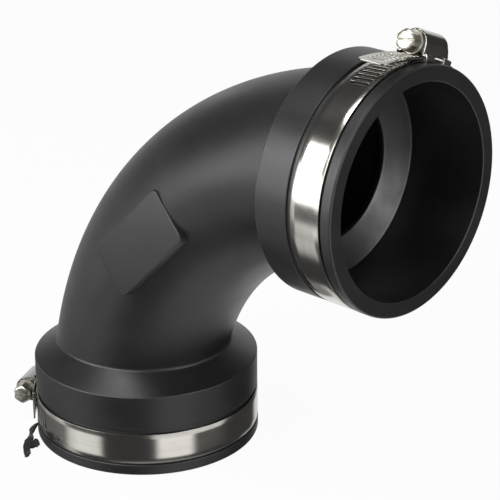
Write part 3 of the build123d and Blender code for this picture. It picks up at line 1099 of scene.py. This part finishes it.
def housing_mesh():
    """Folded cover: arched over the worm, closed at the rear, with a flat foot each side."""
    clamp = bpy.context.scene.coupling_clamp
    wall = clamp.housing_wall
    axis = clamp.screw_axis
    radius = clamp.dome_radius - wall / 2
    foot = clamp.inside_radius + 3.1 * MM
    half = clamp.housing_length / 2
    # Length of the rounded rear end, and the heights over which it and the feet bend away.
    cap, cap_blend, foot_blend = 3.0 * MM, 1.5 * MM, 3.4 * MM
    corners = [
        (clamp.band_width / 2, foot - axis, 0),
        (radius, foot - axis, 0.7 * MM),
        (radius, 0.0, 0),
    ]
    side = rounded(corners, steps=6, support=0.00005)
    arch = [Vector((radius * math.cos(t), radius * math.sin(t))) for t in spread(0.0, math.pi, 28)]
    outline = side[:-1] + arch + [Vector((-p.x, p.y)) for p in reversed(side[:-1])]
    lengths = lengths_along(outline)
    cuts = spread(-half, -half + cap, 10) + spread(-half + cap, half, 14)[1:]
    mesh = strip(cuts, lengths, wall)
    round_rims(mesh, 0.15 * MM)
    # Painted shade, darker at the feet where the cover meets the band.
    mark_flat(mesh, lambda spot: 0.5 if min(spot.y, lengths[-1] - spot.y) < 2.5 * MM else 0.15)
    for vert in mesh.verts:
        index, part = stretch_at(lengths, vert.co.y)
        step = outline[index + 1] - outline[index]
        point = outline[index] + step * part
        step.normalize()
        outward = Vector((step.y, -step.x))
        spot = point + outward * (vert.co.z - wall / 2)
        along = vert.co.x
        depth = max(0.0, -half + cap - along)
        shrink = cap - math.sqrt(max(cap * cap - depth * depth, 0.0))
        rise = clamped((spot.y + cap_blend) / (2 * cap_blend))
        pull = 1 - 0.75 * shrink / clamp.dome_radius * rise
        spot = Vector((spot.x * pull, spot.y * (pull if spot.y > 0 else 1.0)))
        sag = foot - math.sqrt(foot**2 - along**2)
        drop = sag * (1 - ease(clamped((spot.y + foot_blend) / foot_blend)))
        vert.co = (axis + spot.y - drop, along, spot.x)
    face_out(mesh)
    return mesh


def wall_mesh(front):
    """Upright end wall of the housing with the hole that the screw runs in."""
    scene = bpy.context.scene
    clamp, screw = scene.coupling_clamp, scene.coupling_screw
    wall, half = clamp.housing_wall, clamp.housing_length / 2
    outer = clamp.dome_radius - (0.05 * MM if front else 2.0 * MM)
    hole = (screw.neck_radius if front else screw.tip_radius) + HOLE_ROOM
    # Below the screw the wall widens and goes down to the feet.
    widening, lengthening = 1.6, 1.5
    floor = clamp.inside_radius + 3.2 * MM - clamp.screw_axis
    mesh = bmesh.new()
    bmesh.ops.create_circle(mesh, segments=48, radius=outer)
    inner = verts_of(bmesh.ops.extrude_edge_only(mesh, edges=mesh.edges[:])["geom"])
    bmesh.ops.scale(mesh, vec=(hole / outer, hole / outer, 1.0), verts=inner)
    for vert in mesh.verts:
        if vert not in inner and vert.co.y < 0:
            vert.co.x = math.copysign(min(abs(vert.co.x) * widening, outer), vert.co.x)
            vert.co.y = max(vert.co.y * lengthening, floor)
    thicken(mesh, wall)
    round_rims(mesh, 0.12 * MM)
    # Painted shade, darker round the screw's hole.
    mark_flat(mesh, lambda spot: 0.6 if spot.xy.length < hole + 0.5 * MM else 0.1)
    along = half - wall if front else -half + 0.1 * MM
    for vert in mesh.verts:
        vert.co = (clamp.screw_axis + vert.co.y, along + vert.co.z, vert.co.x)
    face_out(mesh)
    return mesh


class COUPLING_OT_housings(bpy.types.Operator):
    """Folds the two saddles and the two housings over their worms"""

    bl_idname = "coupling.housings"
    bl_label = "Housings and saddles"

    def execute(self, context):
        finishes = context.scene.coupling_finishes
        steel = strip_finish("pressed_housing_steel", finishes.housing, 0.20, 0.85)
        saddle_steel = strip_finish("saddle_steel", finishes.band, 0.2, 0.85)
        for which in ("lower", "upper"):
            body = which + "_clamp"
            place = clamp_place(which)
            saddle, cover = [which + "_saddle"], [which + "_housing"]
            parts = [
                (saddle_mesh(), "_crimped_saddle", "stainless_band", saddle_steel, saddle),
                (housing_mesh(), "_domed_cover", "stainless_housing", steel, cover),
                (wall_mesh(True), "_front_wall", "stainless_housing", steel, []),
                (wall_mesh(False), "_rear_wall", "stainless_housing", steel, []),
            ]
            for mesh, name, slot, finish, replaced in parts:
                mesh.transform(place)
                finish_piece(mesh, which + name, slot, body, finish, replaced)
        return {"FINISHED"}


def shank_mesh():
    """Tip, worm core, neck and flange, turned in one outline."""
    screw = bpy.context.scene.coupling_screw
    tip_end, core_end = -9.1 * MM, 7.2 * MM
    corners = [
        (0.0, tip_end, 0),
        (screw.tip_radius, tip_end, 0.3 * MM),
        (screw.tip_radius, -core_end, 0.1 * MM),
        (screw.core_radius, -core_end, 0.2 * MM),
        (screw.core_radius, core_end, 0.2 * MM),
        (screw.neck_radius, core_end, 0.1 * MM),
        (screw.neck_radius, screw.flange_start, 0.1 * MM),
        (screw.flange_radius, screw.flange_start, 0.25 * MM),
        (screw.flange_radius, screw.head_foot, 0.35 * MM),
        (0.0, screw.head_foot, 0),
    ]
    mesh = bmesh.new()
    lathe(mesh, rounded(corners, steps=3, support=0.00005), 64)
    return mesh


def thread_mesh():
    """Worm thread, a tooth swept along a helix and run out at both ends."""
    scene = bpy.context.scene
    clamp, screw = scene.coupling_clamp, scene.coupling_screw
    core, crest, pitch = screw.core_radius - 0.15 * MM, screw.crest_radius, clamp.slot_pitch
    start, turns = -6.6 * MM, 5
    steps = turns * 36
    root_half, crest_half = 0.8 * MM, 0.3 * MM
    tooth = [(core, -root_half), (crest, -crest_half), (crest, crest_half), (core, root_half)]
    mesh = bmesh.new()
    verts = [mesh.verts.new((r, 0.0, start + z)) for r, z in tooth]
    face = mesh.faces.new(verts)
    bmesh.ops.spin(
        mesh,
        geom=[face] + list(face.edges) + verts,
        cent=(0, 0, 0),
        axis=(0, 0, 1),
        dvec=(0, 0, pitch * turns / steps),
        angle=math.tau * turns,
        steps=steps,
    )
    end = start + pitch * turns
    for vert in mesh.verts:
        reach = math.hypot(vert.co.x, vert.co.y)
        runout = min((vert.co.z - start) / pitch, (end - vert.co.z) / pitch)
        limit = core + (crest - core) * clamped(0.4 + 2 * runout)
        if reach > limit:
            vert.co.x *= limit / reach
            vert.co.y *= limit / reach
    face_out(mesh)
    return mesh


def head_mesh():
    """Hexagon head with chamfered corners, before its slot is cut."""
    screw = bpy.context.scene.coupling_screw
    flat = screw.across_flats / 2
    slope = math.tan(math.radians(30.0))

    def hexagon(around):
        turn = (around + math.pi / 6) % (math.pi / 3) - math.pi / 6
        return flat / math.cos(turn)

    def chamfer_top(around):
        return screw.head_top - max(0.0, hexagon(around) - screw.face_radius) * slope

    # Each ring by its radius and height: foot, corner below and above, edge of the face, face.
    rings = [
        (hexagon, lambda a: screw.head_foot - 0.1 * MM),
        (hexagon, lambda a: chamfer_top(a) - 0.12 * MM),
        (lambda a: hexagon(a) - 0.05 * MM, chamfer_top),
        (lambda a: screw.face_radius + 0.05 * MM, lambda a: screw.head_top - 0.04 * MM),
        (lambda a: screw.face_radius - 0.1 * MM, lambda a: screw.head_top),
    ]
    mesh = bmesh.new()
    ring = None
    for radius, height in rings:
        def place(around):
            return polar(radius(around), around, height(around))

        if ring is None:
            ring = first_ring(mesh, 96, place)
            bmesh.ops.contextual_create(mesh, geom=mesh.edges[:])
        else:
            ring = extend(mesh, ring, place)
    bmesh.ops.contextual_create(mesh, geom=ring_edges(ring))
    face_out(mesh)
    return mesh


def slotted(blank):
    """Cuts the driver slot across a blank head, and returns what is left as a bmesh."""
    screw = bpy.context.scene.coupling_screw
    mesh = bmesh.new()
    bmesh.ops.create_cube(mesh, size=1.0)
    size = (4 * screw.across_flats, screw.slot_width, 2 * screw.slot_depth)
    bmesh.ops.scale(mesh, vec=size, verts=mesh.verts)
    bmesh.ops.translate(mesh, vec=(0, 0, screw.head_top), verts=mesh.verts)
    cutter = new_object(mesh, "driver_slot")
    head = new_object(blank, "blank_head")
    modifier = head.modifiers.new("slot", "BOOLEAN")
    modifier.operation = "DIFFERENCE"
    modifier.solver = "EXACT"
    modifier.object = cutter
    cut = bmesh.new()
    cut.from_object(head, bpy.context.evaluated_depsgraph_get())
    bottom = screw.head_top - screw.slot_depth
    if not any(abs(vert.co.z - bottom) < MM / 100 for vert in cut.verts):
        raise RuntimeError("the driver slot was not cut")
    bpy.data.objects.remove(cutter)
    bpy.data.objects.remove(head)
    return cut


class COUPLING_OT_screws(bpy.types.Operator):
    """Turns the two worm screws, with thread, flange and slotted hexagon head"""

    bl_idname = "coupling.screws"
    bl_label = "Screws"

    def execute(self, context):
        scene = context.scene
        clamp, screw = scene.coupling_clamp, scene.coupling_screw
        plated = screw_finish("bright_plated_screw")

        # Painted shade: dark at the bottom of the driver slot, and on the flange and shank below
        # the head, where the screw runs in the housing.
        def head_painted_shade(spot):
            deep = spot.z < screw.head_top - 0.4 * MM and abs(spot.y) < 0.7 * MM
            return 0.9 if deep else dirt(spot)

        def dirt(spot):
            return 0.6 if spot.z < screw.head_foot + 0.5 * MM else 0.15

        for which, turn in {"lower": clamp.lower_turn, "upper": clamp.upper_turn}.items():
            place = clamp_place(which)
            place = place @ Matrix.Translation((clamp.screw_axis, 0, 0))
            place = place @ Matrix.Rotation(-math.pi / 2, 4, "X")
            place = place @ Matrix.Rotation(turn, 4, "Z")
            parts = [
                (slotted(head_mesh()), "_slotted_head", head_painted_shade, []),
                (shank_mesh(), "_screw_shank", dirt, [which + "_screw"]),
                (thread_mesh(), "_worm_thread", dirt, []),
            ]
            for mesh, name, shade_amount, replaced in parts:
                mark_painted_shade(mesh, shade_amount)
                mesh.transform(place)
                body = which + "_worm"
                finish_piece(mesh, which + name, "zinc_screw", body, plated, replaced, 30.0)
        return {"FINISHED"}


class COUPLING_OT_scrap(bpy.types.Operator):
    """Tears the small rubber scrap that trails from the lower lip"""

    bl_idname = "coupling.scrap"
    bl_label = "Torn scrap"

    def execute(self, context):
        mesh = bmesh.new()
        mesh.faces.new([mesh.verts.new((x * MM, y * MM, 0.0)) for x, y in SCRAP_OUTLINE])
        bmesh.ops.triangulate(mesh, faces=mesh.faces[:])
        bmesh.ops.subdivide_edges(mesh, edges=mesh.edges[:], cuts=3, use_grid_fill=True)
        thicken(mesh, 0.8 * MM)
        edge_layer = mesh.verts.layers.float.new("edge")
        # Waviness of the scrap: how fine it is per metre, and how far it goes.
        ragged, wavy = (420.0, 0.35 * MM), (200.0, 0.5 * MM)
        for vert in mesh.verts:
            vert[edge_layer] = 0.5
            vert.co += waver(vert.co * ragged[0]) * ragged[1]
            vert.co.z += wavy[1] * noise.noise(vert.co * wavy[0])
        # Where it hangs on the lip, which way it points and how far it droops.
        facing, heading, droop = (math.radians(degrees) for degrees in (-130.0, -51.7, 6.2))
        lip = context.scene.coupling_socket.lip_radius + 0.2 * MM
        place = Matrix.Translation(polar(lip, facing, 3.0 * MM))
        place = place @ Matrix.Rotation(heading, 4, "Z") @ Matrix.Rotation(droop, 4, "Y")
        mesh.transform(place)
        rubber = rubber_finish("torn_rubber")
        finish_piece(mesh, "ragged_scrap", "black_rubber", "elbow", rubber, ["torn_scrap"], 80.0)
        return {"FINISHED"}


def area_lamp(name, place, target, size, power):
    """Soft rectangular lamp that faces a point."""
    lamp = bpy.data.lights.new(name, "AREA")
    lamp.shape = "RECTANGLE"
    lamp.size, lamp.size_y = size
    lamp.energy = power
    holder = bpy.data.objects.new(name, lamp)
    holder.location = place
    holder.rotation_euler = (target - place).to_track_quat("-Z", "Y").to_euler()
    bpy.context.scene.collection.objects.link(holder)


def stage_finish(name, pale):
    """Pale floor, white to the camera apart from the shadow on it; mirrors see the studio."""
    finish = Finish(bpy.data.materials.new(name))
    fine = finish.clouds(finish.place(), 30.0, 2.0, 0.5)
    shade = finish.blend(0.1 * fine, opaque(pale), (0.80, 0.80, 0.80, 1.0))
    matt = finish.node("BsdfDiffuse", {}, {"Color": shade})
    white = finish.node("Emission", {}, {"Color": (1, 1, 1, 1), "Strength": 1.0})
    clear = finish.node("BsdfTransparent", {}, {"Color": (1, 1, 1, 1)})
    camera = finish.node("LightPath", output="Is Camera Ray")
    glossy = finish.node("LightPath", output="Is Glossy Ray")
    through = finish.node("LightPath", output="Is Transmission Ray")
    seen = finish.node("MixShader", {}, {0: camera * WHITE_SHARE + through, 1: matt, 2: white})
    finish.close(finish.node("MixShader", {}, {0: glossy, 1: seen, 2: clear}))
    return finish.owner


def plain_world():
    """White behind the part, an even light from all round, and panels for mirrors to show."""
    world = bpy.data.worlds.new("studio")
    bpy.context.scene.world = world
    finish = Finish(world)
    way = finish.node("TexCoord", output="Generated")
    gradient = {"gradient_type": "RADIAL"}
    round_about = finish.node("TexGradient", gradient, {"Vector": way}, output=1)
    down = finish.node("SeparateXYZ", {}, {0: way}, output=2) * -1.0

    def ring(walls):
        stops = [(turn / 360.0 + 0.5, brightness) for turn, brightness in walls]
        return finish.ramp(round_about, stops)

    walls = ring(LEVEL_WALLS)
    for start, full, panels in RINGS_BELOW:
        walls = walls.toward(ring(panels), finish.rise(down, start, full))
    walls = walls.toward(UNDER_WALL, finish.rise(down, *UNDER_FROM))
    fall = 0.5 * down + 0.5
    high_share = finish.ramp(fall, [(0.0, 1.0), (0.49, 1.0), (0.51, 0.0), (1.0, 0.0)])
    walls = walls.toward(ring(HIGH_WALLS), high_share)
    studio = DIM_WALL + finish.rise(fall, 0.24, 0.28) * (walls - DIM_WALL)
    camera = finish.node("LightPath", output="Is Camera Ray")
    through = finish.node("LightPath", output="Is Transmission Ray")
    glossy = finish.node("LightPath", output="Is Glossy Ray")
    strength = EVEN_LIGHT + glossy * (studio - EVEN_LIGHT)
    strength = strength + (camera + through) * (1.0 - EVEN_LIGHT)
    light = finish.node("Background", {}, {"Color": (1, 1, 1, 1), "Strength": strength})
    finish.close(light, "OutputWorld")


class COUPLING_OT_stage(bpy.types.Operator):
    """Sets up the camera, the soft studio light and the pale floor"""

    bl_idname = "coupling.stage"
    bl_label = "Stage"

    def execute(self, context):
        scene = context.scene
        scene.view_settings.view_transform = "Standard"
        camera = bpy.data.objects.new("photo_camera", bpy.data.cameras.new("photo_camera"))
        camera.data.sensor_width = 36.0
        camera.data.lens = CAMERA_LENS
        camera.data.clip_start = 0.01
        turn = Matrix(CAMERA_AXES).transposed()
        camera.matrix_world = Matrix.Translation(CAMERA_PLACE) @ turn.to_4x4()
        scene.collection.objects.link(camera)
        scene.camera = camera
        mesh = bmesh.new()
        bmesh.ops.create_grid(mesh, x_segments=8, y_segments=8, size=HALF_FLOOR)
        pale = stage_finish("pale_floor", scene.coupling_finishes.floor)
        floor = new_object(mesh, "floor", pale)
        plain_world()
        for name, turn, height, size, power in LAMPS:
            turn, height = math.radians(turn), math.radians(height)
            way = polar(math.cos(height), turn, math.sin(height))
            area_lamp(name, LAMP_TARGET + LAMP_DISTANCE * way, LAMP_TARGET, size, power)
        return {"FINISHED"}


class COUPLING_PT_panel(bpy.types.Panel):
    """Lists the pieces of the coupling and their sizes"""

    bl_idname = "COUPLING_PT_panel"
    bl_label = "Elbow coupling"
    bl_space_type = "VIEW_3D"
    bl_region_type = "UI"
    bl_category = "Coupling"

    def draw(self, context):
        for operator in OPERATORS:
            self.layout.operator(operator.bl_idname)
        for group in GROUPS:
            box = self.layout.box()
            box.label(text=group.__doc__)
            for name in group.__annotations__:
                box.prop(getattr(context.scene, GROUPS[group]), name)


GROUPS = {
    SocketSizes: "coupling_socket",
    BendSizes: "coupling_bend",
    ClampSizes: "coupling_clamp",
    ScrewSizes: "coupling_screw",
    Finishes: "coupling_finishes",
}
OPERATORS = [
    COUPLING_OT_stage,
    COUPLING_OT_elbow,
    COUPLING_OT_bands,
    COUPLING_OT_housings,
    COUPLING_OT_screws,
    COUPLING_OT_scrap,
]


def register():
    for group, name in GROUPS.items():
        bpy.utils.register_class(group)
        setattr(bpy.types.Scene, name, PointerProperty(type=group))
    for kind in OPERATORS + [COUPLING_PT_panel]:
        bpy.utils.register_class(kind)


def unregister():
    for kind in reversed(OPERATORS + [COUPLING_PT_panel]):
        bpy.utils.unregister_class(kind)
    for group, name in GROUPS.items():
        delattr(bpy.types.Scene, name)
        bpy.utils.unregister_class(group)


def main():
    register()
    bpy.ops.coupling.stage()
    bpy.ops.coupling.elbow()
    bpy.ops.coupling.bands()
    bpy.ops.coupling.housings()
    bpy.ops.coupling.screws()
    bpy.ops.coupling.scrap()


if __name__ == "__main__":
    main()
